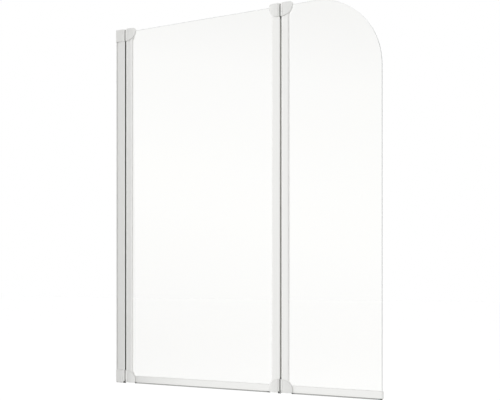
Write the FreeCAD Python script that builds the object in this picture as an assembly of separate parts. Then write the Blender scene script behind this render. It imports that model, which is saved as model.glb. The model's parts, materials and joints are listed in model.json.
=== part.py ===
import FreeCAD, Part
import math
import os

# A folding bath screen of two glass panels on upright hinges, in millimetres.
# X runs from the wall along the screen, Y is its depth and Z is up.
# The origin is on the wall face at the bath rim, in the middle of the glass thickness.

# Overall sizes
overall_height = 1400.0
wall_axis = 54.0  # wall face to the first hinge axis
inner_width = 693.0  # first hinge axis to the fold axis
outer_width = 373.0  # fold axis to the free glass edge
rim_gap = 3.0  # bath rim to the underside of the caps

# Glass panes
glass_thickness = 5.0
glass_bevel = 0.6
glass_drop = 9.0  # top of the caps down to the top of the glass
glass_lift = 2.4  # lower end of the profiles up to the glass
glass_corner = 255.0  # rounded upper corner of the outer pane
glass_foot = 4.0  # small lower corner of the outer pane
gasket_side = 1.5
gasket_base = 1.0

# Extruded profiles
profile_depth = 24.0
skin = 2.0
web = 1.6
nose_reach = 21.5  # hinge axis to the front lip of a nosed profile
rear_short = 7.0  # rear lip short of the front one, behind which it stays out of sight
socket_width = 34.0  # hinge side to glass side of the fold profile
glass_channel = 11.9
edge_round = 5.0
lip_round = 2.0
nose_gap = 1.0
lip_depth = 2.6
port_wall = 6.4
port_side = 5.0  # screw ports of the wall post and fold profile, off the middle
rear_port_set = 3.5  # rear lip of a nosed profile to its rear screw port
port_block = 5.2

# Wall channel and the post that slides on it
wall_reveal = 7.5  # strip of channel that shows beside the post
wall_flange = 1.8
wall_web = 2.0  # base of the channel, as wide as the post
slide_gap = 0.3
channel_gap = 0.5
adjust_travel = 14.0
post_edge = 0.8
wall_hole_radius = 3.0
wall_hole_low = 101.5  # bath rim to the lowest wall screw, which puts the outer pair 1200 apart
inner_hole_pitch = 400.0
channel_end_gap = 1.5

# Clamp screws between post and channel
clamp_radius = 1.9
clamp_hole_gap = 0.2
clamp_slot_gap = 0.4
clamp_slot_edge = 2.4
clamp_head_radius = 3.8
clamp_head_height = 2.4
clamp_head_round = 1.2
clamp_pitch = 500.0
clamp_tail = 1.2
nut_width = 8.0
nut_thickness = 2.5
nut_gap = 0.1

# Hinge caps
cap_height = 48.0
cap_wall = 3.0
cap_fit = 0.15
cap_corner = 8.0
cap_round = 0.8
dome_width = 36.5
dome_crown = 77.0  # radius of the crowned front and back of a cap with an oval outline
crown_run = 28.5  # crowned length, up to the tip
cap_slope = 5.4  # fall of a fixed cap's face towards the hinge gap
base_plate = 2.5
plug_depth = 22.0
wall_cap_gap = 0.2
slot_gap = 0.6
part_line = 0.8  # fine groove where the round wall of a moving cap meets its crowned front
lock_radius = 1.6  # small blind hole in the front of a wall cap
lock_depth = 2.2
lock_drop = 15.5
collar_gap = 0.3
ear_radius = 7.0
ear_neck = 6.0  # arm of the ear behind the middle of the screen
ear_lead = 0.6  # arm in front of the middle
ear_front = 13.6  # radius of the ear's fuller front, which closes the view into the hinge
ear_thickness = 8.0
ear_gap = 0.6
notch_gap = 1.0
foot_width = 3.6  # rubber feet in the lower fixed caps, beside the hinge gap
foot_height = 4.0
foot_drop = 2.6
foot_reach = 7.0  # foot below the hinge gap, past the side of the cap
foot_gap = 0.4
foot_inset = 1.7
foot_depth = 5.0

# Hinge pins and bushes
pin_radius = 3.0
pin_bevel = 0.5
pin_cover = 2.0
pin_short = 1.0  # end of the pin before the end of the bush
running_gap = 0.05
end_play = 0.1
bush_wall = 1.5
bush_length = 16.0
bush_flange = 1.0
bush_flange_wall = 2.0

# Cap screws
screw_radius = 1.6
screw_hole_gap = 0.3
screw_head_radius = 3.0
screw_head_height = 1.6
screw_sink = 0.4
screw_bite = 14.0
drive_width = 0.8
drive_length = 3.6
drive_depth = 1.0

# Seals in the hinge gaps
seal_side_gap = 0.1
seal_back = 0.4  # face of the strip behind the profile lips
bulb_radius = 2.0
bulb_gap = 0.35

# Bottom rails with their sealing lips
rail_low = 4.2
rail_height = 25.4
rail_wall = 1.5
rail_round = 1.2
rail_end_gap = 0.5
rail_slot_gap = 0.5
lip_head_half = 2.6
lip_neck_half = 1.2
lip_neck_height = 1.5
lip_head_height = 1.9
lip_fit = 0.1
lip_foot_half = 3.4
leg_thickness = 1.2
lip_tuck = 6.0  # end of a lip under the tip of a nosed profile's cap
end_plug = 4.0
plug_tongue = 12.0
plug_round = 1.0
plug_fit = 0.1

# Places worked out from the sizes above
fold_axis = wall_axis + inner_width
free_edge = fold_axis + outer_width
profile_half = profile_depth / 2
glass_half = glass_thickness / 2
pocket_half = glass_half + gasket_side
socket_lip = profile_half + nose_gap
seal_seat = socket_lip + lip_depth
port_far = seal_seat + port_wall
socket_end = socket_lip + socket_width
port_middle = seal_seat + port_wall / 2
cap_half = profile_half + cap_wall
nose_chamber = nose_reach - glass_channel - web
rear_reach = nose_reach - rear_short
cap_low = overall_height - cap_height
ear_low = overall_height - ear_thickness
plate_top = ear_low - end_play - bush_flange
stile_top = plate_top - base_plate
mirror_height = (overall_height + rim_gap) / 2
stile_bottom = 2 * mirror_height - stile_top
glass_top = overall_height - glass_drop
glass_bottom = stile_bottom + glass_lift
rail_top = rail_low + rail_height
rail_half = pocket_half + rail_wall
rail_floor = glass_bottom - gasket_base
lip_head_top = rail_low + lip_neck_height + lip_head_height
notch_low = cap_low - notch_gap
bush_radius = pin_radius + running_gap + bush_wall
flange_radius = bush_radius + bush_flange_wall
outer_hole_pitch = 2 * (mirror_height - wall_hole_low)
channel_half = profile_half - skin - slide_gap
channel_reach = wall_axis - port_far - channel_gap
clamp_x = channel_reach - clamp_slot_edge - clamp_radius - clamp_slot_gap - adjust_travel

# Handle length that makes a curve follow a quarter of an ellipse
quarter_handle = 0.5523

# Lengths under this count as nothing
touching = 1e-6

VECTOR = FreeCAD.Vector
UP = VECTOR(0, 0, 1)
DEEP = VECTOR(0, 1, 0)
ALONG = VECTOR(1, 0, 0)


def plan(across, up):
    """Point of a section seen from above."""
    return VECTOR(across, up, 0)


def front(across, up):
    """Point of an outline seen from the front."""
    return VECTOR(across, 0, up)


def side(across, up):
    """Point of a section seen from the end of the screen."""
    return VECTOR(0, across, up)


def block(x_low, x_high, y_low, y_high, z_low, z_high):
    """Square-edged block between six planes."""
    corner = VECTOR(x_low, y_low, z_low)
    return Part.makeBox(x_high - x_low, y_high - y_low, z_high - z_low, corner)


def rod(x, y, radius, z_low, z_high):
    """Upright round rod."""
    return Part.makeCylinder(radius, z_high - z_low, VECTOR(x, y, z_low))


def rounded_face(corners, place):
    """Flat face whose corners are given as across, up and radius."""
    bends = []
    for number, (across, up, radius) in enumerate(corners):
        here = VECTOR(across, up, 0)
        before = corners[number - 1]
        after = corners[(number + 1) % len(corners)]
        back = (VECTOR(before[0], before[1], 0) - here).normalize()
        onward = (VECTOR(after[0], after[1], 0) - here).normalize()
        half_angle = back.getAngle(onward) / 2
        reach = radius / math.tan(half_angle)
        rise = radius / math.sin(half_angle) - radius
        bisector = (back + onward).normalize()
        bends.append((here + back * reach, here + bisector * rise, here + onward * reach))
    edges = []
    for number, bend in enumerate(bends):
        start, middle, end = [place(point.x, point.y) for point in bend]
        following = bends[(number + 1) % len(bends)][0]
        target = place(following.x, following.y)
        if corners[number][2] > 0:
            edges.append(Part.Arc(start, middle, end).toShape())
        if (target - end).Length > touching:
            edges.append(Part.makeLine(end, target))
    return Part.Face(Part.Wire(edges))


def upright(corners, z_low, z_high):
    """Section with rounded corners drawn up between two heights."""
    face = rounded_face(corners, plan)
    face.translate(UP * z_low)
    return face.extrude(UP * (z_high - z_low))


def lengthwise(corners, x_low, x_high):
    """Section with rounded corners drawn along the screen."""
    face = rounded_face(corners, side)
    face.translate(ALONG * x_low)
    return face.extrude(ALONG * (x_high - x_low))


def both_sides(shape):
    """The shape together with its reflection from front to back."""
    return shape.fuse(shape.mirror(VECTOR(0, 0, 0), DEEP))


def to_bottom(shape):
    """The lower counterpart of a piece made for the top of the screen."""
    return shape.mirror(VECTOR(0, 0, mirror_height), UP)


def moved(shape, x):
    """The piece carried along the screen to its own hinge axis."""
    placed = shape.copy()
    placed.translate(ALONG * x)
    return placed


def cut_all(shape, tools):
    """The shape less every tool."""
    for tool in tools:
        shape = shape.cut(tool)
    return shape


def fuse_all(shapes):
    """One clean solid out of several that meet."""
    return shapes[0].multiFuse(shapes[1:]).removeSplitter()


def save(name, shape):
    """Write one node."""
    shape.exportStep("parts/" + name + ".step")


# Profiles, drawn about their hinge axis

def nose_outline(grow, z_low, z_high):
    """Outside of a nosed profile: half round on the axis, with a long front lip and a short rear one."""
    half = profile_half + grow
    bend = edge_round + grow
    corners = [
        (0, -half, 0),
        (nose_reach + grow, -half, bend),
        (nose_reach + grow, 0, 0),
        (rear_reach + grow, 0, 0),
        (rear_reach + grow, half, bend),
        (0, half, 0),
    ]
    straight = upright(corners, z_low, z_high)
    return fuse_all([straight, rod(0, 0, half, z_low, z_high)])


def nose_chamber_fill(shrink, z_low, z_high):
    """Inside of the round nose, up to the web behind the glass channel."""
    half = profile_half - skin - shrink
    straight = block(0, nose_chamber - shrink, -half, half, z_low, z_high)
    behind = block(-half, 0, -half, half, z_low, z_high)
    return fuse_all([straight, rod(0, 0, half, z_low, z_high).common(behind)])


def flank_hollow(inside, x_low, x_high):
    """Hollow in front of the glass channel, within the profile's skin."""
    near = pocket_half + web
    strip = block(x_low, x_high, -profile_half, -near, stile_bottom, stile_top)
    return inside.common(strip)


def moving_ports():
    """Places of the front and the rear cap screw in a nosed profile."""
    off = (pocket_half + web + profile_half - skin) / 2
    return [(nose_reach - skin - port_block / 2, -off), (rear_reach - rear_port_set, off)]


def nose_profile():
    """Nosed hinge profile with its glass channel and two screw ports."""
    ports = moving_ports()
    front_port = ports[0][0]
    floor = nose_reach - glass_channel
    inside = nose_outline(-skin, stile_bottom, stile_top)
    body = nose_outline(0, stile_bottom, stile_top)
    tools = [
        nose_chamber_fill(0, stile_bottom, stile_top),
        block(floor, nose_reach, -pocket_half, pocket_half, stile_bottom, stile_top),
        flank_hollow(inside, floor, front_port - port_block / 2),
    ]
    tools += [rod(x, y, screw_radius, stile_bottom, stile_top) for x, y in ports]
    return cut_all(body, tools)


def socket_outline(grow, far, far_round, z_low, z_high):
    """Outside of a profile that stands on the fixed side of a hinge."""
    half = profile_half + grow
    bend = far_round + grow
    corners = [
        (-far - grow, -half, bend),
        (-socket_lip, -half, lip_round),
        (-socket_lip, half, lip_round),
        (-far - grow, half, bend),
    ]
    return upright(corners, z_low, z_high)


def fixed_ports():
    """Places of the front and the rear cap screw in the wall post and the fold profile."""
    return [(-port_middle, -port_side), (-port_middle, port_side)]


def hinge_slope(half):
    """Wedges beside the hinge gap that a fixed cap leaves free, for a body of this half depth."""
    outside = half + cap_slope
    corners = [
        (seal_seat - 2 * port_far, -outside, 0),
        (-seal_seat, -outside, 0),
        (-seal_seat, cap_slope - half, 0),
    ]
    return both_sides(upright(corners, notch_low, overall_height))


def socket_cuts():
    """Seal recess, end notches, screw ports and middle hollow beside the hinge gap."""
    seat_half = profile_half - skin
    hollow_half = port_side - screw_radius - web
    top_notch = block(-seal_seat, 0, -cap_half, cap_half, notch_low, overall_height)
    wedges = hinge_slope(profile_half)
    return [
        block(-seal_seat, 0, -seat_half, seat_half, stile_bottom, stile_top),
        top_notch,
        to_bottom(top_notch),
        wedges,
        to_bottom(wedges),
        block(-port_far + web, -seal_seat - web, -hollow_half, hollow_half, stile_bottom, stile_top),
    ] + [rod(x, y, screw_radius, stile_bottom, stile_top) for x, y in fixed_ports()]


def fold_profile():
    """Profile on the outer edge of the inner pane that carries the fold hinge."""
    floor = socket_end - glass_channel
    half = profile_half - skin
    inside = socket_outline(-skin, socket_end, edge_round, stile_bottom, stile_top)
    body = socket_outline(0, socket_end, edge_round, stile_bottom, stile_top)
    tools = socket_cuts()
    tools += [
        block(-floor + web, -port_far, -half, half, stile_bottom, stile_top),
        block(-socket_end, -floor, -pocket_half, pocket_half, stile_bottom, stile_top),
        both_sides(flank_hollow(inside, skin - socket_end, -floor)),
    ]
    return cut_all(body, tools)


def clamp_heights():
    """Heights of the three clamp screws."""
    return [mirror_height + step * clamp_pitch for step in (-1, 0, 1)]


def across_rod(x, radius, y_low, y_high, z):
    """Round rod that runs from front to back."""
    return Part.makeCylinder(radius, y_high - y_low, VECTOR(x, y_low, z), DEEP)


def wall_post():
    """Post that slides over the wall channel and carries the first hinge."""
    start = wall_axis - wall_reveal
    half = profile_half - skin
    body = socket_outline(0, start, post_edge, stile_bottom, stile_top)
    tools = socket_cuts()
    tools.append(block(-start, -port_far, -half, half, stile_bottom, stile_top))
    body = moved(cut_all(body, tools), wall_axis)
    hole = clamp_radius + clamp_hole_gap
    return cut_all(body, [across_rod(clamp_x, hole, 0, profile_half, z) for z in clamp_heights()])


def wall_channel():
    """Channel screwed to the wall, standing on the bath rim, with slots for the clamp screws."""
    high = stile_top - channel_end_gap
    inside = channel_half - wall_flange
    flanges = block(0, channel_reach, -channel_half, channel_half, 0, high)
    body = fuse_all([flanges, block(0, wall_web, -profile_half, profile_half, 0, high)])
    tools = [block(wall_web, channel_reach, -inside, inside, 0, high)]
    for pitch in (outer_hole_pitch, inner_hole_pitch):
        for z in (mirror_height - pitch / 2, mirror_height + pitch / 2):
            tools.append(Part.makeCylinder(wall_hole_radius, wall_web, VECTOR(0, 0, z), ALONG))
    slot_half = clamp_radius + clamp_slot_gap
    for z in clamp_heights():
        slot = block(clamp_x, clamp_x + adjust_travel, 0, channel_half, z - slot_half, z + slot_half)
        ends = [across_rod(x, slot_half, 0, channel_half, z) for x in (clamp_x, clamp_x + adjust_travel)]
        tools.append(fuse_all([slot] + ends))
    return cut_all(body, tools)


# Caps, drawn about their hinge axis for the top of the screen

def dome(near, start, far, tip):
    """Cap body with crowned faces: level top, rounded corner at the far end, and below a quarter oval."""
    width = far - start
    high = overall_height
    bend = high - cap_corner
    drop = bend - cap_low
    turn = cap_corner * math.sqrt(0.5)
    handles = [
        front(far, bend),
        front(far, bend - quarter_handle * drop),
        front(start + quarter_handle * width, cap_low),
        front(start, cap_low),
    ]
    oval = Part.BezierCurve()
    oval.setPoles(handles)
    corner_middle = front(far - cap_corner + turn, bend + turn)
    edges = [
        Part.makeLine(front(near, cap_low), front(near, high)),
        Part.makeLine(front(near, high), front(far - cap_corner, high)),
        Part.Arc(front(far - cap_corner, high), corner_middle, front(far, bend)).toShape(),
        oval.toShape(),
    ]
    if start - near > touching:
        edges.append(Part.makeLine(front(start, cap_low), front(near, cap_low)))
    face = Part.Face(Part.Wire(edges))
    face.translate(DEEP * -cap_half)
    body = face.extrude(DEEP * (2 * cap_half))
    return soften(body.common(crowned_block(near, tip)))


def crowned_block(near, tip):
    """Block as thick as a cap, whose front and back are flat at the hinge and crowned towards the tip."""
    turn = tip - crown_run
    flat = block(near, turn, -cap_half, cap_half, cap_low, overall_height)
    crowned = block(turn, tip, -cap_half, cap_half, cap_low, overall_height)
    for y in (dome_crown - cap_half, cap_half - dome_crown):
        crowned = crowned.common(rod(turn, y, dome_crown, cap_low, overall_height))
    return fuse_all([flat, crowned])


def lapped_dome(near, start, front_far, rear_far):
    """Cap body that laps over the glass at the front and ends with the profile at the rear."""
    split = -glass_half - slot_gap
    front_side = block(near, front_far, -cap_half, split, cap_low, overall_height)
    rear_side = block(near, rear_far, split, cap_half, cap_low, overall_height)
    front_half = dome(near, start, front_far, front_far).common(front_side)
    rear_half = dome(near, start, rear_far, front_far).common(rear_side)
    return fuse_all([front_half, rear_half])


def soften(body):
    """Round the rims of a cap's front and back, apart from its hinge side."""
    rims = []
    for face in body.Faces:
        u_low, u_high, v_low, v_high = face.ParameterRange
        middle = face.normalAt((u_low + u_high) / 2, (v_low + v_high) / 2)
        outward = abs(middle.dot(DEEP)) > math.sqrt(0.5)
        for edge in face.Edges:
            box = edge.BoundBox
            if outward and box.XMax - box.XMin > touching:
                rims.append(edge)
    return body.makeFillet(cap_round, rims)


def screw_passage(x, y):
    """Hole through a cap for one cap screw, with room for its head."""
    head_top = overall_height - screw_sink
    head_low = head_top - screw_head_height
    shaft = rod(x, y, screw_radius + screw_hole_gap, stile_top, overall_height)
    cone = Part.makeCone(screw_radius, screw_head_radius, screw_head_height, VECTOR(x, y, head_low))
    mouth = rod(x, y, screw_head_radius, head_top, overall_height)
    return fuse_all([shaft, cone, mouth])


def cap_screw(x, y):
    """Countersunk screw that holds a cap to the end of its profile."""
    head_top = overall_height - screw_sink
    head_low = head_top - screw_head_height
    shaft = rod(x, y, screw_radius, stile_top - screw_bite, head_low)
    head = Part.makeCone(screw_radius, screw_head_radius, screw_head_height, VECTOR(x, y, head_low))
    low = head_top - drive_depth
    half = drive_width / 2
    arm = drive_length / 2
    cross = [
        block(x - arm, x + arm, y - half, y + half, low, head_top),
        block(x - half, x + half, y - arm, y + arm, low, head_top),
    ]
    return cut_all(fuse_all([shaft, head]), cross)


def pane_slot(start, far):
    """Room in a top cap for the upper edge of the glass."""
    half = glass_half + slot_gap
    return block(start, far, -half, half, cap_low, glass_top + slot_gap)


def rail_slots(pane_span, rail_span):
    """Room in a bottom cap for the glass and for the end of the bottom rail."""
    half = rail_half + rail_slot_gap
    rail_room = block(*rail_span, -half, half, 0, rail_top + rail_slot_gap)
    pane_half = glass_half + slot_gap
    pane_room = block(*pane_span, -pane_half, pane_half, glass_bottom - slot_gap, cap_height + rim_gap)
    return [to_bottom(rail_room), to_bottom(pane_room)]


def moving_cap(slots):
    """Cap on a nosed profile, with a round wall about the nose and the plug that holds the hinge bush."""
    plug = nose_chamber_fill(cap_fit, stile_top - plug_depth, stile_top)
    hinge_half = block(-cap_half, 0, -cap_half, cap_half, cap_low, plate_top)
    barrel = rod(0, 0, cap_half, cap_low, plate_top).common(hinge_half)
    shell = fuse_all([lapped_dome(0, 0, dome_width, nose_reach), barrel])
    shell = shell.cut(nose_outline(cap_fit, cap_low - cap_height, stile_top))
    collar_top = plate_top + bush_flange - collar_gap
    collar = rod(0, 0, cap_half, plate_top, collar_top)
    collar = collar.cut(rod(0, 0, flange_radius + collar_gap, plate_top, collar_top))
    shell = fuse_all([cut_all(shell, ear_room()), collar, plug])
    bore = rod(0, 0, bush_radius, stile_top - plug_depth, plate_top)
    half = part_line / 2
    groove = block(-half, half, -cap_half, part_line - cap_half, cap_low, plate_top)
    passages = [screw_passage(x, y) for x, y in moving_ports()]
    return cut_all(shell, slots + [bore, both_sides(groove)] + passages)


def ear_room():
    """Room in a moving cap for the ear, all the way round its swing."""
    reach = ear_front + ear_gap
    front_end = ear_lead + ear_gap
    rear_end = ear_neck + ear_gap
    swing = rod(0, 0, reach, plate_top, overall_height)
    return [
        block(-cap_half, front_end, -cap_half, 0, plate_top, overall_height),
        block(-cap_half, rear_end, 0, cap_half, plate_top, overall_height),
        rod(0, 0, ear_radius + ear_gap, plate_top, overall_height),
        swing.common(block(0, reach, -reach, ear_gap, plate_top, overall_height)),
    ]


def ear():
    """Arm of a fixed cap that reaches over the hinge axis and holds the pin, with a fuller front."""
    arm = block(-seal_seat, 0, -ear_lead, ear_neck, ear_low, overall_height)
    eye = rod(0, 0, ear_radius, ear_low, overall_height)
    front_side = block(-ear_front, 0, -ear_front, 0, ear_low, overall_height)
    return [arm, eye, rod(0, 0, ear_front, ear_low, overall_height).common(front_side)]


def fixed_cuts():
    """Pin bore and screw holes of a fixed cap, and the slope of its faces towards the hinge gap."""
    bore = rod(0, 0, pin_radius, ear_low, overall_height - pin_cover)
    return [bore, hinge_slope(cap_half)] + [screw_passage(x, y) for x, y in fixed_ports()]


def fold_cap(slots):
    """Cap on the fold profile, with the ear of the fold hinge."""
    far = port_far + dome_width
    shell = lapped_dome(seal_seat, port_far, far, socket_end).mirror(VECTOR(0, 0, 0), ALONG)
    pocket = socket_outline(cap_fit, socket_end, edge_round, cap_low - cap_height, stile_top)
    shell = cut_all(shell, [pocket.cut(hinge_slope(profile_half + cap_fit))] + slots)
    half = profile_half - skin - cap_fit
    floor = socket_end - glass_channel - web
    plug = block(-floor + cap_fit, -port_far - cap_fit, -half, half, stile_top - plug_depth, stile_top)
    shell = fuse_all([shell, plug] + ear())
    return cut_all(shell, fixed_cuts())


def wall_cap():
    """Square-ended cap on the wall post, with the ear of the first hinge."""
    start = wall_axis - wall_cap_gap
    shell = block(-start, -seal_seat, -cap_half, cap_half, cap_low, overall_height)
    rims = []
    for edge in shell.Edges:
        box = edge.BoundBox
        if box.XMax - box.XMin > touching and abs(abs(box.YMin) - cap_half) < touching:
            rims.append(edge)
    shell = shell.makeFillet(cap_round, rims)
    half = profile_half + cap_fit
    pocket = block(-start, 0, -half, half, cap_low, stile_top)
    shell = fuse_all([shell.cut(pocket.cut(hinge_slope(half)))] + ear())
    lock = across_rod(-port_far, lock_radius, -cap_half, lock_depth - cap_half, overall_height - lock_drop)
    return cut_all(shell, fixed_cuts() + [lock])


def channel_room():
    """Room in the lower wall cap for the channel, which goes on down to the bath rim."""
    half = channel_half + slide_gap
    base_half = profile_half + cap_fit
    flanges = block(0, channel_reach + slide_gap, -half, half, 0, stile_bottom)
    return flanges.fuse(block(0, wall_web + slide_gap, -base_half, base_half, 0, stile_bottom))


def foot_span(x_high, z_low, z_high, outside):
    """Front and rear blocks at the lower corner of a fixed cap, beside the hinge gap."""
    near = cap_half - foot_inset - foot_depth
    return both_sides(block(-seal_seat - foot_width, x_high, -outside, -near, z_low, z_high))


def foot_room():
    """Room for the rubber feet in a lower fixed cap."""
    return foot_span(-seal_seat, 0, rim_gap + foot_height, cap_half)


def rubber_feet():
    """Dark feet at the lower end of a hinge gap, flush with the slope and reaching across below the gap."""
    outside = cap_half - foot_inset
    low = rim_gap - foot_drop
    block_pair = foot_span(-seal_seat, low, rim_gap + foot_height, outside)
    pad_pair = foot_span(foot_reach - seal_seat, low, rim_gap - foot_gap, outside)
    return block_pair.fuse(pad_pair).cut(to_bottom(hinge_slope(cap_half))).removeSplitter()


def end_pair(top_piece):
    """A piece at the top of the screen together with its lower counterpart."""
    return Part.makeCompound([top_piece, to_bottom(top_piece)])


def screw_set(ports):
    """The four cap screws of one profile, two at each end."""
    screws = []
    for x, y in ports:
        screw = cap_screw(x, y)
        screws += [screw, to_bottom(screw)]
    return Part.makeCompound(screws)


def hinge_pin():
    """Pin held in the ear, running in the bush of the moving cap."""
    low = plate_top - bush_length + pin_short
    pin = rod(0, 0, pin_radius, low, overall_height - pin_cover)
    ends = [edge for edge in pin.Edges if edge.Closed]
    return pin.makeChamfer(pin_bevel, ends)


def hinge_bush():
    """Flanged bush in the moving cap, with the flange under the ear."""
    sleeve = rod(0, 0, bush_radius, plate_top - bush_length, plate_top)
    flange = rod(0, 0, flange_radius, plate_top, plate_top + bush_flange)
    bore = rod(0, 0, pin_radius + running_gap, plate_top - bush_length, ear_low)
    return fuse_all([sleeve, flange]).cut(bore)


def gap_seal():
    """Dark strip in the hinge gap with a bulb that faces the nose."""
    half = profile_half - skin - seal_side_gap
    low = 2 * mirror_height - notch_low
    strip = block(-seal_seat, -socket_lip - seal_back, -half, half, low, notch_low)
    bulb = rod(-profile_half - bulb_gap - bulb_radius, 0, bulb_radius, low, notch_low)
    behind = block(-socket_end, -seal_seat, -half, half, low, notch_low)
    return fuse_all([strip, bulb]).cut(behind)


# Clamp hardware on the wall post

def clamp_screw(z):
    """Pan-head screw through the rear of the post into its nut plate."""
    inside = channel_half - wall_flange - nut_gap - nut_thickness - clamp_tail
    shaft = across_rod(clamp_x, clamp_radius, inside, profile_half, z)
    head = across_rod(clamp_x, clamp_head_radius, profile_half, profile_half + clamp_head_height, z)
    top = profile_half + clamp_head_height
    rim = [edge for edge in head.Edges if abs(edge.BoundBox.YMin - top) < touching and edge.Closed]
    head = head.makeFillet(clamp_head_round, rim)
    half = drive_width / 2
    arm = drive_length / 2
    cross = [
        block(clamp_x - arm, clamp_x + arm, top - drive_depth, top, z - half, z + half),
        block(clamp_x - half, clamp_x + half, top - drive_depth, top, z - arm, z + arm),
    ]
    return cut_all(fuse_all([shaft, head]), cross)


def clamp_nut(z):
    """Square nut plate behind the slotted flange of the channel."""
    high = channel_half - wall_flange - nut_gap
    low = high - nut_thickness
    half = nut_width / 2
    plate = block(clamp_x - half, clamp_x + half, low, high, z - half, z + half)
    return plate.cut(across_rod(clamp_x, clamp_radius, low, high, z))


# Glass and its gaskets

def bevelled(pane):
    """Pane with its front and back rims ground off."""
    rims = []
    for edge in pane.Edges:
        box = edge.BoundBox
        if box.YMax - box.YMin < touching:
            rims.append(edge)
    return pane.makeChamfer(glass_bevel, rims)


def pane_start(axis):
    """Edge of a pane inside the channel of a nosed profile."""
    return axis + nose_reach - glass_channel + gasket_base


def pane(corners):
    """Glass pane from its front outline."""
    face = rounded_face(corners, front)
    face.translate(DEEP * -glass_half)
    return bevelled(face.extrude(DEEP * glass_thickness))


def inner_pane():
    """Square-cornered pane between the two profiles of the inner panel."""
    start = pane_start(wall_axis)
    end = fold_axis - socket_end + glass_channel - gasket_base
    corners = [(start, glass_bottom, 0), (end, glass_bottom, 0), (end, glass_top, 0), (start, glass_top, 0)]
    return pane(corners)


def outer_pane():
    """Pane with a large round upper corner on its free side."""
    start = pane_start(fold_axis)
    corners = [
        (start, glass_bottom, 0),
        (free_edge, glass_bottom, glass_foot),
        (free_edge, glass_top, glass_corner),
        (start, glass_top, 0),
    ]
    return pane(corners)


def nose_gasket():
    """Gasket round the pane in the channel of a nosed profile."""
    floor = nose_reach - glass_channel
    body = block(floor, nose_reach, -pocket_half, pocket_half, stile_bottom, stile_top)
    room = block(floor + gasket_base, nose_reach, -glass_half, glass_half, stile_bottom, stile_top)
    past_lip = block(rear_reach, nose_reach, 0, pocket_half, stile_bottom, stile_top)
    return cut_all(body, [room, past_lip])


def fold_gasket():
    """Gasket round the pane in the channel of the fold profile."""
    floor = socket_end - glass_channel
    body = block(-socket_end, -floor, -pocket_half, pocket_half, stile_bottom, stile_top)
    room = block(-socket_end, -floor - gasket_base, -glass_half, glass_half, stile_bottom, stile_top)
    return body.cut(room)


# Bottom rails, which run along the screen

def rail_outline(x_low, x_high):
    """Outside of a bottom rail and of the plug on its end."""
    corners = [
        (-rail_half, rail_low, rail_round),
        (rail_half, rail_low, rail_round),
        (rail_half, rail_top, rail_round),
        (-rail_half, rail_top, rail_round),
    ]
    return lengthwise(corners, x_low, x_high)


def rail(x_low, x_high):
    """Rail on the lower edge of a pane, with a slot for the sealing lip."""
    neck_top = rail_low + lip_neck_height
    head = lip_head_half + lip_fit
    neck = lip_neck_half + lip_fit
    chamber_low = lip_head_top + rail_wall
    chamber_high = rail_floor - rail_wall
    tools = [
        block(x_low, x_high, -pocket_half, pocket_half, rail_floor, rail_top),
        block(x_low, x_high, -pocket_half, pocket_half, chamber_low, chamber_high),
        block(x_low, x_high, -head, head, neck_top, lip_head_top),
        block(x_low, x_high, -neck, neck, rail_low, neck_top),
    ]
    return cut_all(rail_outline(x_low, x_high), tools)


def rail_gasket(x_low, x_high):
    """Gasket between a pane and its bottom rail."""
    body = block(x_low, x_high, -pocket_half, pocket_half, rail_floor, rail_top)
    return body.cut(block(x_low, x_high, -glass_half, glass_half, glass_bottom, rail_top))


def rail_lip(x_low, x_high):
    """Dark lip that hangs from a rail on two legs."""
    neck_top = rail_low + lip_neck_height
    head = block(x_low, x_high, -lip_head_half, lip_head_half, neck_top + lip_fit, lip_head_top)
    neck = block(x_low, x_high, -lip_neck_half, lip_neck_half, rail_low, neck_top + lip_fit)
    shoulder = rail_half - rail_round
    split = rail_low - leg_thickness
    skirt = [
        (-shoulder, rail_low, 0),
        (-shoulder, split, 0),
        (-lip_foot_half, 0, 0),
        (-lip_foot_half + leg_thickness, 0, 0),
        (0, split, 0),
        (lip_foot_half - leg_thickness, 0, 0),
        (lip_foot_half, 0, 0),
        (shoulder, split, 0),
        (shoulder, rail_low, 0),
    ]
    return fuse_all([head, neck, lengthwise(skirt, x_low, x_high)])


def rail_plug():
    """Plug that closes the free end of the outer rail."""
    far = free_edge + end_plug
    plate = rail_outline(free_edge, far)
    rims = [edge for edge in plate.Edges if edge.BoundBox.XMin > far - touching]
    plate = plate.makeFillet(plug_round, rims)
    half = pocket_half - plug_fit
    low = lip_head_top + rail_wall + plug_fit
    high = rail_floor - rail_wall - plug_fit
    return fuse_all([plate, block(free_edge - plug_tongue, free_edge, -half, half, low, high)])


os.makedirs("parts", exist_ok=True)

# Wall side
save("wall_channel", wall_channel())
save("wall_post", wall_post())
save("clamp_screws", Part.makeCompound([clamp_screw(z) for z in clamp_heights()]))
save("clamp_nuts", Part.makeCompound([clamp_nut(z) for z in clamp_heights()]))
wall_cap_top = moved(wall_cap(), wall_axis)
save("wall_cap_top", wall_cap_top)
wall_cap_bottom = to_bottom(wall_cap_top).cut(channel_room())
save("wall_cap_bottom", wall_cap_bottom.cut(moved(foot_room(), wall_axis)))
save("wall_cap_feet", moved(rubber_feet(), wall_axis))
save("wall_cap_screws", moved(screw_set(fixed_ports()), wall_axis))
save("wall_hinge_pins", moved(end_pair(hinge_pin()), wall_axis))
save("wall_gap_seal", moved(gap_seal(), wall_axis))

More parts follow.
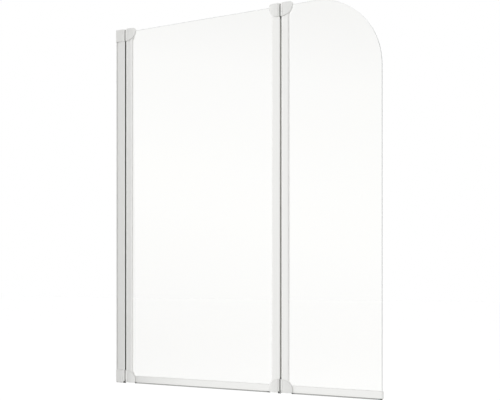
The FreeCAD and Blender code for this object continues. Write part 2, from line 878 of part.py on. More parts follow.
# Nosed hinge profiles of both panels, with what they carry
nose_pane = (nose_reach - glass_channel, dome_width)
nose_rail = (nose_reach, dome_width)
top_cap = moving_cap([pane_slot(*nose_pane)])
bottom_cap = to_bottom(moving_cap(rail_slots(nose_pane, nose_rail)))
for panel, axis in (("inner", wall_axis), ("outer", fold_axis)):
    save(panel + "_hinge_stile", moved(nose_profile(), axis))
    save(panel + "_hinge_gasket", moved(nose_gasket(), axis))
    save(panel + "_hinge_cap_top", moved(top_cap, axis))
    save(panel + "_hinge_cap_bottom", moved(bottom_cap, axis))
    save(panel + "_hinge_cap_screws", moved(screw_set(moving_ports()), axis))
    save(panel + "_hinge_bushes", moved(end_pair(hinge_bush()), axis))

# Fold side of the inner panel
fold_tip = -port_far - dome_width
fold_pane = (fold_tip, glass_channel - socket_end)
fold_rail = (fold_tip, -socket_end)
fold_top = fold_cap([pane_slot(*fold_pane)])
fold_bottom = to_bottom(fold_cap(rail_slots(fold_pane, fold_rail))).cut(foot_room())
save("inner_fold_stile", moved(fold_profile(), fold_axis))
save("inner_fold_gasket", moved(fold_gasket(), fold_axis))
save("inner_fold_cap_top", moved(fold_top, fold_axis))
save("inner_fold_cap_bottom", moved(fold_bottom, fold_axis))
save("inner_fold_cap_feet", moved(rubber_feet(), fold_axis))
save("inner_fold_cap_screws", moved(screw_set(fixed_ports()), fold_axis))
save("fold_hinge_pins", moved(end_pair(hinge_pin()), fold_axis))
save("fold_gap_seal", moved(gap_seal(), fold_axis))

# Panes and bottom rails
save("inner_glass", inner_pane())
save("outer_glass", outer_pane())
rail_start = nose_reach + rail_end_gap
lip_start = dome_width - lip_tuck
inner_ends = (fold_axis - socket_end - rail_end_gap, fold_axis + fold_tip)
outer_ends = (free_edge, free_edge)
for panel, axis, ends in (("inner", wall_axis, inner_ends), ("outer", fold_axis, outer_ends)):
    rail_end, lip_end = ends
    save(panel + "_rail", rail(axis + rail_start, rail_end))
    save(panel + "_rail_gasket", rail_gasket(axis + rail_start, rail_end))
    save(panel + "_rail_lip", rail_lip(axis + lip_start, lip_end))
save("outer_rail_end_plug", rail_plug())
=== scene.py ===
# %% [markdown]
# # A folding bath screen, dressed for its picture
#
# The screen is two clear panes in upright aluminium profiles. The inner pane hangs on a hinge at the wall,
# and the outer one folds on a second hinge. Every rigid piece arrives from the CAD model at its true size,
# so this lesson is about glass, soft rubber, finishes, light and the camera. All lengths are metres in the
# CAD frame: X runs from the wall along the screen, Y is its depth with the camera on the minus side, and Z
# is up.

# %% Load the frame
import json
import math

import bmesh
import bpy
from mathutils import Matrix, Vector


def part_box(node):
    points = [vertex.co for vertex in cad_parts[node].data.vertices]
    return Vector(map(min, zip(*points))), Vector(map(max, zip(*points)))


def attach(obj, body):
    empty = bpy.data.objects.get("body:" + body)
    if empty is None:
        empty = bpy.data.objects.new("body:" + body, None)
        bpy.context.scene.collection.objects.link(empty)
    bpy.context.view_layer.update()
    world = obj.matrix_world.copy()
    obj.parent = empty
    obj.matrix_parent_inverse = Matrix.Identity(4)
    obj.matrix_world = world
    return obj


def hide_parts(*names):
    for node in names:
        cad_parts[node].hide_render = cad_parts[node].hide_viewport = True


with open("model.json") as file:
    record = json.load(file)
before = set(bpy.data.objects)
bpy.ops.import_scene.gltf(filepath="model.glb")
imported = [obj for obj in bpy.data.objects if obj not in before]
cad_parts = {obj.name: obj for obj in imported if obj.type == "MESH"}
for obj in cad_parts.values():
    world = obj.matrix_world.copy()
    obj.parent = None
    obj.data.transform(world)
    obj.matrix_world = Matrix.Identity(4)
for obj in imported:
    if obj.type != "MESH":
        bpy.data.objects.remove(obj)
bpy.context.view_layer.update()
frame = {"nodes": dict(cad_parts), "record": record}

nodes = frame["nodes"]
record = frame["record"]
print("nodes loaded:", len(nodes))

# %% [markdown]
# ## Colour, node and scale helpers
#
# Colours are written as sRGB hex codes, as a paint shop would quote them, but shader sockets hold linear
# light, so one function turns the first into the second. Another adds a shader node with its settings and
# links in a single call, which keeps each finish short enough to read. Pattern sizes are given in
# millimetres, and the third helper turns such a size into the scale that a texture needs when its
# coordinates are in metres.

# %% Colour, node and scale helpers
def linear(hex_code):
    """The linear colour of an sRGB hex code."""
    shares = [int(hex_code[place:place + 2], 16) / 255 for place in (1, 3, 5)]
    curved = [s / 12.92 if s <= 0.04045 else ((s + 0.055) / 1.055) ** 2.4 for s in shares]
    return (*curved, 1.0)


def add(tree, kind, settings=(), values=(), links=()):
    """Adds one node, sets its options and socket values, and links its inputs."""
    node = tree.nodes.new(kind)
    for name, value in dict(settings).items():
        setattr(node, name, value)
    for socket, value in dict(values).items():
        node.inputs[socket].default_value = value
    for socket, source in dict(links).items():
        tree.links.new(source, node.inputs[socket])
    return node


def per_metre(spacing_mm):
    """Texture scale for a pattern that repeats at this spacing."""
    return 1000 / spacing_mm


print("mid grey in linear light:", round(linear("#808080")[0], 3))

# %% [markdown]
# ## Building blocks of a finish
#
# Every finish ends in one Principled shader, so starting a material is always the same few lines. The
# object coordinates come along because the CAD nodes sit at the origin: those coordinates are true metres
# on the screen, and they stay on a panel when it swings. A noise that is stretched along one axis gives
# drawn lines and streaks, and an even one gives moulded grain. The same noise then drives colour, roughness
# and relief together, as it would on the real surface, where one cause makes all three.

# %% Building blocks of a finish
MIX_A, MIX_B, MIX_OUT = 6, 7, 2  # colour sockets of the Mix node
print("colour sockets of the Mix node:", MIX_A, MIX_B, MIX_OUT)


def blank_finish(name):
    """A new material with its tree, shader and object coordinates."""
    finish = bpy.data.materials.new(name)
    finish.use_nodes = True
    tree = finish.node_tree
    tree.nodes.clear()
    shader = add(tree, "ShaderNodeBsdfPrincipled")
    add(tree, "ShaderNodeOutputMaterial", links={"Surface": shader.outputs["BSDF"]})
    place = add(tree, "ShaderNodeTexCoord")
    return finish, tree, shader, place


def grain(tree, place, spacing_mm, detail=2.0):
    """Noise with its own spacing along X, Y and Z."""
    scale = [per_metre(spacing) for spacing in spacing_mm]
    stretched = add(
        tree,
        "ShaderNodeMapping",
        values={"Scale": scale},
        links={"Vector": place.outputs["Object"]},
    )
    noise = add(
        tree,
        "ShaderNodeTexNoise",
        values={"Scale": 1.0, "Detail": detail, "Roughness": 0.55},
        links={"Vector": stretched.outputs["Vector"]},
    )
    return noise.outputs["Fac"]


def dress(tree, shader, share, tones, roughness=None, relief_mm=0.0):
    """Lets one pattern drive colour and, where they are given, roughness and fine relief."""
    tone = add(
        tree,
        "ShaderNodeMix",
        settings={"data_type": "RGBA"},
        values={MIX_A: linear(tones[0]), MIX_B: linear(tones[1])},
        links={0: share},
    )
    tree.links.new(tone.outputs[MIX_OUT], shader.inputs["Base Color"])
    if roughness:
        low, high = roughness
        spread = add(
            tree,
            "ShaderNodeMapRange",
            values={"To Min": low, "To Max": high},
            links={"Value": share},
        )
        tree.links.new(spread.outputs["Result"], shader.inputs["Roughness"])
    if relief_mm:
        relief = add(
            tree,
            "ShaderNodeBump",
            values={"Strength": 0.3, "Distance": relief_mm / 1000},
            links={"Height": share},
        )
        tree.links.new(relief.outputs["Normal"], shader.inputs["Normal"])


# %% [markdown]
# ## Anodised aluminium
#
# The profiles are pushed through a die, then etched and anodised. The die leaves very fine lines along the
# length, and the etch spreads every highlight into a soft, pale satin. A photographed normal map could give
# the lines, but stretched noise does the same and never repeats. Uprights have lines along Z and rails
# along X, so one function takes the spacing along each axis. The wall channel, which mostly hides in its
# post, gets a greyer copy of the metal: painted shade for the recess it sits in beside the post.

# %% Anodised aluminium and a copy with painted shade
line_gap_mm = 2.5  # real die lines are about 0.3 mm apart, too fine for the picture
line_run_mm = 600.0
lines_up = (line_gap_mm, line_gap_mm, line_run_mm)
lines_along = (line_run_mm, line_gap_mm, line_gap_mm)


def drawn_aluminium(name, spacing_mm, tones, roughness):
    """Satin silver metal: soft wide highlights with faint lines along the extrusion."""
    finish, tree, shader, place = blank_finish(name)
    shader.inputs["Metallic"].default_value = 1.0
    dress(tree, shader, grain(tree, place, spacing_mm, detail=3.0), tones, roughness, relief_mm=0.02)
    return finish


satin = (0.38, 0.5)
upright_metal = drawn_aluminium("anodised_aluminium_upright", lines_up, ("#F2F2F0", "#EBEBE9"), satin)
rail_metal = drawn_aluminium("anodised_aluminium_rail", lines_along, ("#F6F6F4", "#EFEFED"), satin)
# the wall channel's copy is greyer: painted shade for its recess beside the post
channel_metal_shaded = drawn_aluminium("aluminium_painted_shade", lines_up, ("#EAEAE8", "#E0E0DE"), (0.34, 0.46))
print("metal finishes:", upright_metal.name, rail_metal.name, channel_metal_shaded.name)

# %% [markdown]
# ## Silver caps
#
# The hinge caps are ABS, moulded with a spark-eroded texture and finished in a silver lacquer, so that they
# pass for the metal beside them but look a little greyer and duller. Lacquer with metal flake reflects
# partly like a rough metal and partly like paint. A soft noise gives the drift of the flake. The true
# moulded grain is about 0.1 mm, so it is drawn at 1.2 mm to reach the picture at all.

# %% Silver-lacquered ABS
def lacquered_abs(name):
    """Dull silver with an even, slightly clouded sheen and a fine matt grain."""
    finish, tree, shader, place = blank_finish(name)
    shader.inputs["Metallic"].default_value = 0.7
    dress(tree, shader, grain(tree, place, (14.0, 14.0, 14.0)), ("#EAEAE8", "#E3E3E1"), (0.4, 0.52))
    pits = add(
        tree,
        "ShaderNodeBump",
        values={"Strength": 0.25, "Distance": 0.00003},
        links={"Height": grain(tree, place, (1.2, 1.2, 1.2))},
    )
    tree.links.new(pits.outputs["Normal"], shader.inputs["Normal"])
    return finish


cap_silver = lacquered_abs("abs_silver_lacquer")
print("cap finish:", cap_silver.name)

# %% [markdown]
# ## Toughened glass
#
# The panes are 5 mm toughened float glass. Their faces are fire-polished, and their rims and arrises are
# ground, so a rim looks satin and pale where the faces are clear. Two materials show that best. Toughening
# rolls leave a very shallow wave of about 250 mm in the faces, which bends reflections just enough to look
# like real glass.

# %% Polished faces and ground rims
def clear_glass(name):
    """Clear, colourless faces with a shallow roller wave."""
    finish, tree, shader, place = blank_finish(name)
    shader.inputs["IOR"].default_value = 1.52
    shader.inputs["Transmission Weight"].default_value = 1.0
    shader.inputs["Roughness"].default_value = 0.0
    wave = grain(tree, place, (900.0, 900.0, 250.0), detail=0.0)
    dress(tree, shader, wave, ("#FEFEFD", "#FEFEFC"), relief_mm=0.01)
    return finish


def ground_rim(name):
    """Pale satin edge that scatters light, with the fine marks of the grinding belt."""
    finish, tree, shader, place = blank_finish(name)
    shader.inputs["IOR"].default_value = 1.52
    shader.inputs["Transmission Weight"].default_value = 0.88
    marks = grain(tree, place, (3.0, 0.8, 3.0))
    dress(tree, shader, marks, ("#E8EDEA", "#DEE4E1"), (0.3, 0.4), relief_mm=0.02)
    return finish


pane_finish = clear_glass("toughened_glass")
rim_finish = ground_rim("ground_glass_rim")
print("glass finishes:", pane_finish.name, rim_finish.name)

# %% [markdown]
# ## Rubber, steel and bearing plastic
#
# The strips in the hinge gaps are extruded EPDM, the lips under the rails a softer and paler grade, and the
# glazing gaskets a light PVC. Extruded rubber is matt, with faint streaks along its length and a grey
# bloom. Both ends of a strip or a lip are darker over their last millimetres: painted shade for the shade
# that the caps cast there. The distance from the middle of the piece, measured along its length, fades the
# streaks into a darker tone there.
# Screws and pins are turned stainless steel, and the bushes are natural acetal, a waxy white.

# %% Extruded rubber
streak_mm = 1.5
streak_run_mm = 120.0
streaks_up = (streak_mm, streak_mm, streak_run_mm)
streaks_along = (streak_run_mm, streak_mm, streak_mm)


def extruded_rubber(name, spacing_mm, tones, roughness):
    """Matt rubber with faint streaks along its length."""
    finish, tree, shader, place = blank_finish(name)
    shader.inputs["IOR"].default_value = 1.5
    dress(tree, shader, grain(tree, place, spacing_mm), tones, roughness, relief_mm=0.05)
    return finish


foot_rubber = extruded_rubber("epdm_rubber_black", streaks_along, ("#161616", "#242423"), (0.5, 0.7))
gasket_vinyl = extruded_rubber("pvc_gasket_pale", streaks_up, ("#FAFAF8", "#F3F3F1"), (0.4, 0.55))
print("plain rubber finishes:", foot_rubber.name, gasket_vinyl.name)


# %% Rubber with painted shade at its cut ends
def trimmed_rubber(name, spacing_mm, tones, end_shade_tone, along, span, reach_mm):
    """Streaked rubber whose cut ends are darkened with painted shade. The span is measured along one axis.
    """
    finish = extruded_rubber(name, spacing_mm, tones, (0.5, 0.68))
    tree = finish.node_tree
    shader = next(node for node in tree.nodes if node.type == "BSDF_PRINCIPLED")
    streaked = shader.inputs["Base Color"].links[0].from_socket
    place = add(tree, "ShaderNodeTexCoord")
    middle = [axis * sum(span) / 2 for axis in along]
    off_middle = add(
        tree,
        "ShaderNodeVectorMath",
        settings={"operation": "SUBTRACT"},
        values={1: middle},
        links={0: place.outputs["Object"]},
    )
    along_only = add(
        tree,
        "ShaderNodeVectorMath",
        settings={"operation": "DOT_PRODUCT"},
        values={1: along},
        links={0: off_middle.outputs["Vector"]},
    )
    distance = add(
        tree,
        "ShaderNodeMath",
        settings={"operation": "ABSOLUTE"},
        links={0: along_only.outputs["Value"]},
    )
    half = (span[1] - span[0]) / 2
    # painted shade: darker over the last millimetres at each end
    end_shade = add(
        tree,
        "ShaderNodeMapRange",
        settings={"interpolation_type": "SMOOTHSTEP"},
        values={"From Min": half - reach_mm / 1000, "From Max": half},
        links={"Value": distance.outputs["Value"]},
    )
    shaded_ends = add(
        tree,
        "ShaderNodeMix",
        settings={"data_type": "RGBA"},
        values={MIX_B: linear(end_shade_tone)},
        links={0: end_shade.outputs["Result"], MIX_A: streaked},
    )
    tree.links.new(shaded_ends.outputs[MIX_OUT], shader.inputs["Base Color"])
    return finish


def node_span(node, axis):
    """Lowest and highest place of a node along one axis."""
    low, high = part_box(node)
    return low[axis], high[axis]


up, along_rail = (0.0, 0.0, 1.0), (1.0, 0.0, 0.0)
# lengths of the painted shade at the ends of strips and lips
strip_end_shade_mm, lip_end_shade_mm = 9.0, 16.0
strip_span = node_span("wall_gap_seal", 2)
# the fold strip is a much paler copy of the wall strip's rubber: painted light, for the fold gap that is
# lit more than the gap at the wall
wall_strip_rubber, fold_strip_rubber = [
    trimmed_rubber(name, streaks_up, tones, end_shade_tone, up, strip_span, strip_end_shade_mm)
    for name, tones, end_shade_tone in (
        ("epdm_rubber_dark_grey", ("#5C5C5A", "#6A6A68"), "#2E2E2D"),
        ("epdm_rubber_painted_lighter", ("#C8C8C3", "#D2D2CD"), "#5A5A57"),
    )
]
lip_tones, lip_end_shade_tone = ("#AAAAA8", "#B4B4B2"), "#4A4A49"
inner_lip_rubber, outer_lip_rubber = [
    trimmed_rubber(
        "tpe_rubber_" + node,
        streaks_along,
        lip_tones,
        lip_end_shade_tone,
        along_rail,
        node_span(node, 0),
        lip_end_shade_mm,
    )
    for node in ("inner_rail_lip", "outer_rail_lip")
]
print("strip finishes:", wall_strip_rubber.name, fold_strip_rubber.name)
print("lip finishes:", inner_lip_rubber.name, outer_lip_rubber.name)


# %% Turned steel and natural acetal
def turned_steel(name):
    """Bright grey metal with fine turning marks that break up its highlight."""
    finish, tree, shader, place = blank_finish(name)
    shader.inputs["Metallic"].default_value = 1.0
    marks = grain(tree, place, (2.0, 2.0, 0.4))
    dress(tree, shader, marks, ("#CBCAC7", "#B7B6B3"), (0.22, 0.38), relief_mm=0.01)
    return finish


def natural_acetal(name):
    """Waxy off-white plastic with a faint cloud."""
    finish, tree, shader, place = blank_finish(name)
    shader.inputs["IOR"].default_value = 1.48
    dress(tree, shader, grain(tree, place, (6.0, 6.0, 6.0)), ("#ECEBE4", "#E0DFD8"), (0.35, 0.45))
    return finish


screw_steel = turned_steel("stainless_steel_turned")
bush_acetal = natural_acetal("acetal_natural")
print("small finishes:", screw_steel.name, bush_acetal.name)

# %% [markdown]
# ## Dress the CAD nodes
#
# The record names a material slot for each node, so the finishes are handed out by slot. Only the aluminium
# splits: by the direction in which the profile was drawn, and for the wall channel, whose copy carries
# painted shade.

# %% Hand out the finishes
finish_of = {
    "anodised_aluminium": upright_metal,
    "cap_plastic": cap_silver,
    "safety_glass": pane_finish,
    "glazing_gasket": gasket_vinyl,
    "seal_black": foot_rubber,
    "gap_seal_grey": wall_strip_rubber,
    "seal_grey": inner_lip_rubber,
    "stainless_steel": screw_steel,
    "bush_plastic": bush_acetal,
}
own_finish = {"inner_rail": rail_metal, "outer_rail": rail_metal, "wall_channel": channel_metal_shaded}
slot_of = {subpart["node"]: subpart["material_slot"] for subpart in record["subparts"]}
for name, slot_name in slot_of.items():
    for material_slot in nodes[name].material_slots:
        material_slot.material = own_finish.get(name, finish_of[slot_name])
print("nodes dressed:", len(slot_of))

# %% [markdown]
# ## Outlines and lofts
#
# Glass and rubber are remade here as meshes, because a pane needs two finishes and cut rubber has no sharp
# edges. Both start as a flat outline with rounded corners. A loft then carries that outline through a stack
# of rings, a little smaller at each end, so that the last ring leaves a softened edge. Bevel modifiers
# could do the softening too, but on thin legs and long strips rings are easier to control.

# %% Outlines and lofts
smooth_angle = math.radians(32)


def rounded(corners, steps=5):
    """Outline points of a polygon whose corners are given as across, height and radius."""
    outline = []
    for number, (across, height, radius) in enumerate(corners):
        here = Vector((across, height))
        back = (Vector(corners[number - 1][:2]) - here).normalized()
        onward = (Vector(corners[(number + 1) % len(corners)][:2]) - here).normalized()
        if not radius:
            outline.append(here)
            continue
        half_angle = back.angle(onward) / 2
        centre = here + (back + onward).normalized() * radius / math.sin(half_angle)
        arm = here + back * radius / math.tan(half_angle) - centre
        turn = math.copysign(math.pi - 2 * half_angle, onward.cross(back))
        for step in range(steps + 1):
            outline.append(centre + Matrix.Rotation(turn * step / steps, 2) @ arm)
    return outline


def loft(name, stacks, finishes):
    """A piece made of closed lofts. The flat ends take the first finish and the sides the last one."""
    mesh = bpy.data.meshes.new(name)
    shape = bmesh.new()
    side_index = len(finishes) - 1
    for rings in stacks:
        rows = [[shape.verts.new(point) for point in ring] for ring in rings]
        shape.faces.new(rows[0])
        shape.faces.new(rows[-1])
        for lower, upper in zip(rows, rows[1:]):
            for spot in range(len(lower)):
                corner = [lower[spot - 1], lower[spot], upper[spot], upper[spot - 1]]
                shape.faces.new(corner).material_index = side_index
    bmesh.ops.recalc_face_normals(shape, faces=shape.faces)
    shape.to_mesh(mesh)
    shape.free()
    mesh.shade_smooth()
    mesh.set_sharp_from_angle(angle=smooth_angle)
    for finish in finishes:
        mesh.materials.append(finish)
    piece = bpy.data.objects.new(name, mesh)
    bpy.context.scene.collection.objects.link(piece)
    return piece


body_of = {node: body for body, held in record["behaviour"]["bodies"].items() for node in held}
print("bodies that carry the nodes:", sorted(set(body_of.values())))


def stand_in(piece, node):
    """Puts a piece on the node's body, in the node's place, and hides the node."""
    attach(piece, body_of[node])
    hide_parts(node)
    print(piece.name, "for", node, "with", len(piece.data.polygons), "faces")


# %% [markdown]
# ## Glass panes
#
# A pane is cut, its edges are ground, and only then is it toughened. The outline is the cut shape, and the
# two outer rings are set in by the arris, the small chamfer that keeps the edge from chipping. The outer
# pane has one large round corner at the top and a small one at the foot.

# %% Two panes with ground arrises
mm = 0.001
arris = 0.6 * mm
air_gap = 0.03 * mm  # keeps the glass off the gaskets, so that no two faces share a plane
large_corner = 0.255
small_corner = 4.0 * mm
sharp = 0.0
corner_steps = 72


def glass_pane(name, node, corner_radii):
    """A pane of the node's size. The corner radii run from the lower left round to the upper left."""
    off_gasket = Vector((air_gap, air_gap, air_gap))
    low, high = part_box(node)[0] + off_gasket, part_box(node)[1] - off_gasket
    rings = []
    for depth, inset in ((low.y, arris), (low.y + arris, 0.0), (high.y - arris, 0.0), (high.y, arris)):
        places = [
            (low.x + inset, low.z + inset),
            (high.x - inset, low.z + inset),
            (high.x - inset, high.z - inset),
            (low.x + inset, high.z - inset),
        ]
        corners = [(*place, max(radius - inset, sharp)) for place, radius in zip(places, corner_radii)]
        rings.append([(x, depth, z) for x, z in rounded(corners, corner_steps)])
    stand_in(loft(name, [rings], [pane_finish, rim_finish]), node)


glass_pane("inner_pane", "inner_glass", (sharp, sharp, sharp, sharp))
glass_pane("outer_pane", "outer_glass", (sharp, small_corner, large_corner, sharp))

# %% [markdown]
# ## Sealing lips
#
# A lip is pushed into the slot under its rail and stands on the bath with two thin legs. Cut from soft
# extrusion, it has round toes and no crisp edge. Its section is drawn once in the end view, and the loft
# carries it along the rail.

# %% Lips under the rails
end_soft = 0.5 * mm
lip_head = 2.6 * mm
lip_neck = 1.2 * mm
lip_leg = 1.2 * mm
lip_toe = 3.4 * mm
lip_head_height = 1.8 * mm
lip_end_share = 0.93  # size of the trimmed end beside the full section


def shrunk(outline, share):
    """The outline drawn smaller about its middle."""
    middle = sum(outline, Vector((0.0, 0.0))) / len(outline)
    return [middle + (point - middle) * share for point in outline]


def sealing_lip(name, node, rail, rubber):
    """The two-legged lip that hangs below a rail."""
    low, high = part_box(node)
    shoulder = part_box(rail)[0].z
    split = shoulder - lip_leg
    neck_top = high.z - lip_head_height
    right = [
        (lip_head, high.z, 0.5 * mm),
        (lip_head, neck_top, 0.3 * mm),
        (lip_neck, neck_top, 0.2 * mm),
        (lip_neck, shoulder, 0.2 * mm),
        (high.y, shoulder, 0.4 * mm),
        (high.y, split, 0.5 * mm),
        (lip_toe, low.z, 0.5 * mm),
        (lip_toe - lip_leg, low.z, 0.4 * mm),
    ]
    left = [(-y, z, radius) for y, z, radius in reversed(right)]
    outline = rounded(right + [(0.0, split, 0.6 * mm)] + left)
    small = shrunk(outline, lip_end_share)
    stations = ((low.x, small), (low.x + end_soft, outline), (high.x - end_soft, outline), (high.x, small))
    rings = [[(x, y, z) for y, z in ring] for x, ring in stations]
    stand_in(loft(name, [rings], [rubber]), node)


sealing_lip("inner_sealing_lip", "inner_rail_lip", "inner_rail", inner_lip_rubber)
sealing_lip("outer_sealing_lip", "outer_rail_lip", "outer_rail", outer_lip_rubber)

# %% [markdown]
# ## Strips in the hinge gaps
#
# A flat strip lies in each hinge gap, and a bulb in its middle presses on the round nose of the moving
# profile. Seen from the front it is the darker line between two pale profiles. It is drawn in plan and
# lofted upwards.

# %% Gap strips
strip_depth = 2.2 * mm
bulb_half = 2.0 * mm
bulb_tip_share = 0.8  # width of the bulb at its tip beside its root
strip_end_share = 0.96


def gap_strip(name, node, rubber):
    """The upright strip with its bulb, rounded where it was trimmed."""
    low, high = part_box(node)
    face = low.x + strip_depth
    corners = [
        (low.x, low.y, 0.4 * mm),
        (face, low.y, 0.9 * mm),
        (face, -bulb_half, 0.2 * mm),
        (high.x, -bulb_tip_share * bulb_half, 0.6 * mm),
        (high.x, bulb_tip_share * bulb_half, 0.6 * mm),
        (face, bulb_half, 0.2 * mm),
        (face, high.y, 0.9 * mm),
        (low.x, high.y, 0.4 * mm),
    ]
    outline = rounded(corners)
    small = shrunk(outline, strip_end_share)
    stations = ((low.z, small), (low.z + end_soft, outline), (high.z - end_soft, outline), (high.z, small))
    rings = [[(x, y, z) for x, y in ring] for z, ring in stations]
    stand_in(loft(name, [rings], [rubber]), node)


gap_strip("wall_gap_strip", "wall_gap_seal", wall_strip_rubber)
gap_strip("fold_gap_strip", "fold_gap_seal", fold_strip_rubber)

# %% [markdown]
# ## Rubber feet
#
# A small black foot sits at the lower end of each hinge gap, at the front and at the back. It fills the
# corner of the cap, flush with the sloping side of the cap, and its pad reaches across below the gap, so
# that water does not run out there. The loft climbs through the pad and then steps in to the smaller plan
# of the block above it.

# %% Rubber feet
foot_width = 3.6 * mm
foot_depth = 5.0 * mm
pad_height = 2.2 * mm
foot_soft = 0.4 * mm
slope_near = 0.8 * mm  # set-back of the block behind the front of the pad, away from the gap
slope_far = 3.8 * mm  # the same beside the gap
pad_low_share, pad_top_share = 0.9, 0.95  # softened rims of the pad
block_share, block_top_share = 0.98, 0.8  # block with a little room in its cap, and its softened top


def rubber_feet(name, node):
    """Front and rear feet of one hinge."""
    low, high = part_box(node)
    side = low.x + foot_width
    stacks = []
    for outside, inward in ((low.y, 1), (high.y, -1)):
        inside = outside + inward * foot_depth
        pad = [(low.x, outside), (high.x, outside), (high.x, inside), (low.x, inside)]
        near, far = outside + inward * slope_near, outside + inward * slope_far
        block = [(low.x, near), (side, far), (side, inside), (low.x, inside)]
        pad_plan, block_plan = [rounded([(*corner, foot_soft) for corner in plan]) for plan in (pad, block)]
        pad_top = low.z + pad_height
        stations = (
            (low.z, shrunk(pad_plan, pad_low_share)),
            (low.z + foot_soft, pad_plan),
            (pad_top - foot_soft, pad_plan),
            (pad_top, shrunk(pad_plan, pad_top_share)),
            (pad_top + foot_soft, shrunk(block_plan, block_share)),
            (high.z - foot_soft, shrunk(block_plan, block_share)),
            (high.z, shrunk(block_plan, block_top_share)),
        )
        stacks.append([[(x, y, z) for x, y in ring] for z, ring in stations])
    stand_in(loft(name, stacks, [foot_rubber]), node)


rubber_feet("wall_rubber_feet", "wall_cap_feet")
rubber_feet("fold_rubber_feet", "inner_fold_cap_feet")

# %% [markdown]
# ## Floor and white surround
#
# A bath screen hangs on the wall with its lips on the rim of a bath, so the pale floor lies a bath's height
# below it. The picture was taken in a white surround that is brightest far to the left, a little dimmer to
# the right and darkest below. Satin metal shows all of that as soft shading, and the undersides of the caps
# turn into thin dark lines. The camera, also when it looks through the glass, gets plain white, so that the
# background stays even. A ray that has bounced off a surface gets the shading instead.

# %% Stage sheets and pale floor
bath_height = 0.55
floor_half = 40.0
ray_kinds = ("camera", "diffuse", "glossy", "transmission", "shadow")


def flat_sheet(name, corners, finish, seen_by=ray_kinds):
    """A four-cornered stage surface that only some kinds of ray can see."""
    mesh = bpy.data.meshes.new(name)
    mesh.from_pydata(corners, [], [(0, 1, 2, 3)])
    mesh.materials.append(finish)
    sheet = bpy.data.objects.new(name, mesh)
    for kind in ray_kinds:
        setattr(sheet, "visible_" + kind, kind in seen_by)
    bpy.context.scene.collection.objects.link(sheet)


floor_finish, floor_tree, floor_shader, floor_place = blank_finish("pale_floor_paint")
speckle = grain(floor_tree, floor_place, (40.0, 40.0, 40.0))
dress(floor_tree, floor_shader, speckle, ("#FEFEFE", "#FDFDFD"), (0.9, 0.95))
floor_shader.inputs["Specular IOR Level"].default_value = 0.0
signs = ((-1, -1), (1, -1), (1, 1), (-1, 1))
floor_corners = [(a * floor_half, b * floor_half, -bath_height) for a, b in signs]
flat_sheet("studio_floor", floor_corners, floor_finish, seen_by=("camera", "transmission"))
print("floor below the bath rim, metres:", bath_height)

# %% White surround with soft shading
height_levels = ((-1.0, 0.35), (-0.6, 0.7), (-0.25, 1.0), (1.0, 1.0))
across_levels = ((-1.0, 1.6), (-0.75, 1.08), (-0.5, 1.0), (0.3, 1.0), (1.0, 0.92))


def level_ramp(tree, share, levels):
    """A grey ramp through the given levels, each at its place between the first and the last."""
    low, high = levels[0][0], levels[-1][0]
    spread = add(
        tree,
        "ShaderNodeMapRange",
        values={"From Min": low, "From Max": high},
        links={"Value": share},
    )
    ramp = add(tree, "ShaderNodeValToRGB", links={"Fac": spread.outputs["Result"]})
    stops = ramp.color_ramp.elements
    while len(stops) < len(levels):
        stops.new(0.5)
    for stop, (place, level) in zip(stops, levels):
        stop.position = (place - low) / (high - low)
        stop.color = (level, level, level, 1.0)
    return ramp.outputs["Color"]


world = bpy.data.worlds.new("white_studio")
bpy.context.scene.world = world
world.use_nodes = True
sky = world.node_tree
surround = sky.nodes["Background"]
surround.inputs["Strength"].default_value = 1.0
direction = add(sky, "ShaderNodeTexCoord")
parts_of = add(sky, "ShaderNodeSeparateXYZ", links={"Vector": direction.outputs["Generated"]})
shading = add(
    sky,
    "ShaderNodeMix",
    settings={"data_type": "RGBA", "blend_type": "MULTIPLY"},
    values={0: 1.0},
    links={
        MIX_A: level_ramp(sky, parts_of.outputs["Z"], height_levels),
        MIX_B: level_ramp(sky, parts_of.outputs["X"], across_levels),
    },
)
seen = add(sky, "ShaderNodeLightPath")
bounce_limit = 0.5  # bounces are whole numbers, so a half parts none from one or more
straight = add(
    sky,
    "ShaderNodeMath",
    settings={"operation": "MAXIMUM"},
    links={0: seen.outputs["Is Camera Ray"], 1: seen.outputs["Is Transmission Ray"]},
)
bounces = add(
    sky,
    "ShaderNodeMath",
    settings={"operation": "ADD"},
    links={0: seen.outputs["Glossy Depth"], 1: seen.outputs["Diffuse Depth"]},
)
unbounced = add(
    sky,
    "ShaderNodeMath",
    settings={"operation": "LESS_THAN"},
    values={1: bounce_limit},
    links={0: bounces.outputs[0]},
)
plain_view = add(
    sky,
    "ShaderNodeMath",
    settings={"operation": "MULTIPLY"},
    links={0: straight.outputs[0], 1: unbounced.outputs[0]},
)
backdrop = add(
    sky,
    "ShaderNodeMix",
    settings={"data_type": "RGBA"},
    values={MIX_B: linear("#FFFFFF")},
    links={0: plain_view.outputs[0], MIX_A: shading.outputs[MIX_OUT]},
)
sky.links.new(backdrop.outputs[MIX_OUT], surround.inputs["Color"])
print("surround levels:", len(height_levels), "by height and", len(across_levels), "across")

# %% Overhead softbox
softbox_place = (0.5, 0.0, 5.0)
softbox = bpy.data.lights.new("overhead_softbox", "AREA")
softbox.shape = "RECTANGLE"
softbox.size = 5.0
softbox.size_y = 4.0
softbox.energy = 34.0
softbox_stand = bpy.data.objects.new("overhead_softbox", softbox)
softbox_stand.location = softbox_place
softbox_stand.visible_camera = False
softbox_stand.visible_glossy = False
softbox_stand.visible_transmission = False
bpy.context.scene.collection.objects.link(softbox_stand)
print("softbox, watts:", softbox.energy)

# %% [markdown]
# ## Cards that shape the reflections
#
# White metal in a white room has no form, so photographers put dark flags just out of view. A slim black
# flag stands where the flat faces near the wall mirror it, so they turn a shade darker than those at the
# fold, while their round edges stay bright. The glass mirrors a broad soft light with a slow fall-off: full
# white across the middle, greyer towards the top and the bottom. A card in front of the screen carries that
# fall-off. Only mirror-sharp reflections may see it, so its finish is clear for every other ray.

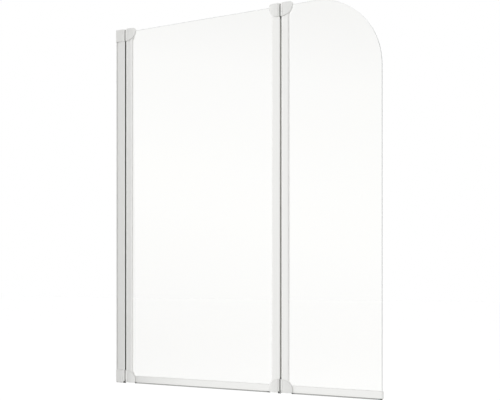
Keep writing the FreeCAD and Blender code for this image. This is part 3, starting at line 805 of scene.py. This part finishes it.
# %% Slim black flag
flag_finish, flag_tree, flag_shader, flag_place = blank_finish("black_flag_cloth")
weave = grain(flag_tree, flag_place, (5.0, 5.0, 5.0))
dress(flag_tree, flag_shader, weave, ("#040404", "#0A0A0A"), (0.9, 1.0))
flag_shader.inputs["Specular IOR Level"].default_value = 0.0
flag_middle = Vector((-0.273, -0.407))
flag_across = Vector((0.79, -0.61))
flag_heights = ((-0.4, 0.052), (2.4, 0.03))  # height and half width, wider at the foot
flag_corners = []
for sign in (-1, 1):
    for height, half_width in flag_heights[::-sign]:
        flag_corners.append((*(flag_middle + flag_across * sign * half_width), height))
flat_sheet("wall_side_flag", flag_corners, flag_finish, seen_by=("glossy",))
print("flag, height and half width in metres:", flag_heights)

# %% Fall-off card for the glass
card_y = -3.0
tilt = (0.234, 0.0, 1.0)  # the bright band sinks towards the free edge
card_x, card_z = (-4.0, 2.0), (-1.5, 4.0)
low_levels = ((-0.8, 0.35), (-0.4, 0.6), (0.0, 0.78), (0.55, 1.0))
high_levels = ((0.9, 1.0), (1.4, 0.82), (1.7, 0.74), (2.2, 0.2))
levels = low_levels + high_levels

card_finish = bpy.data.materials.new("soft_light_card")
card_finish.use_nodes = True
card_tree = card_finish.node_tree
card_tree.nodes.clear()
card_place = add(card_tree, "ShaderNodeTexCoord")
height = add(
    card_tree,
    "ShaderNodeVectorMath",
    settings={"operation": "DOT_PRODUCT"},
    values={1: tilt},
    links={0: card_place.outputs["Object"]},
)
fall_off = level_ramp(card_tree, height.outputs["Value"], levels)
glow = add(card_tree, "ShaderNodeEmission", links={"Color": fall_off})
clear = add(card_tree, "ShaderNodeBsdfTransparent")
ray = add(card_tree, "ShaderNodeLightPath")
mirrored = add(
    card_tree,
    "ShaderNodeMath",
    settings={"operation": "GREATER_THAN"},
    values={1: bounce_limit},
    links={0: ray.outputs["Glossy Depth"]},
)
sharp_only = add(
    card_tree,
    "ShaderNodeMath",
    settings={"operation": "MULTIPLY"},
    links={0: mirrored.outputs[0], 1: ray.outputs["Is Singular Ray"]},
)
choice = add(
    card_tree,
    "ShaderNodeMixShader",
    links={0: sharp_only.outputs[0], 1: clear.outputs["BSDF"], 2: glow.outputs["Emission"]},
)
add(card_tree, "ShaderNodeOutputMaterial", links={"Surface": choice.outputs["Shader"]})
card_corners = [(card_x[side > 0], card_y, card_z[end > 0]) for side, end in signs]
flat_sheet("glass_fall_off_card", card_corners, card_finish, seen_by=("glossy", "transmission"))
print("fall-off levels:", len(levels))

# %% [markdown]
# ## Camera
#
# Lines measured on the picture give one camera that fits them all: it stands 0.4 m above the bath rim, to
# the right of the screen, level, with the frame shifted up as an architectural photographer would do it.
# Uprights stay parallel because the camera is level.

# %% Camera at the picture's place
frame_width_px = 500.0
focal_px = 917.6
rise_px = 81.33
camera_place = (2.2703, -2.9212, 0.402)
level_deg, turn_deg = 90.0, 29.69
camera_data = bpy.data.cameras.new("picture_camera")
camera_data.sensor_width = 36.0
camera_data.lens = focal_px / frame_width_px * camera_data.sensor_width
camera_data.shift_y = rise_px / frame_width_px
camera = bpy.data.objects.new("picture_camera", camera_data)
camera.location = camera_place
camera.rotation_euler = (math.radians(level_deg), 0, math.radians(turn_deg))
bpy.context.scene.collection.objects.link(camera)
bpy.context.scene.camera = camera
bpy.context.scene.view_settings.view_transform = "Standard"
print("lens, millimetres:", round(camera_data.lens, 2))
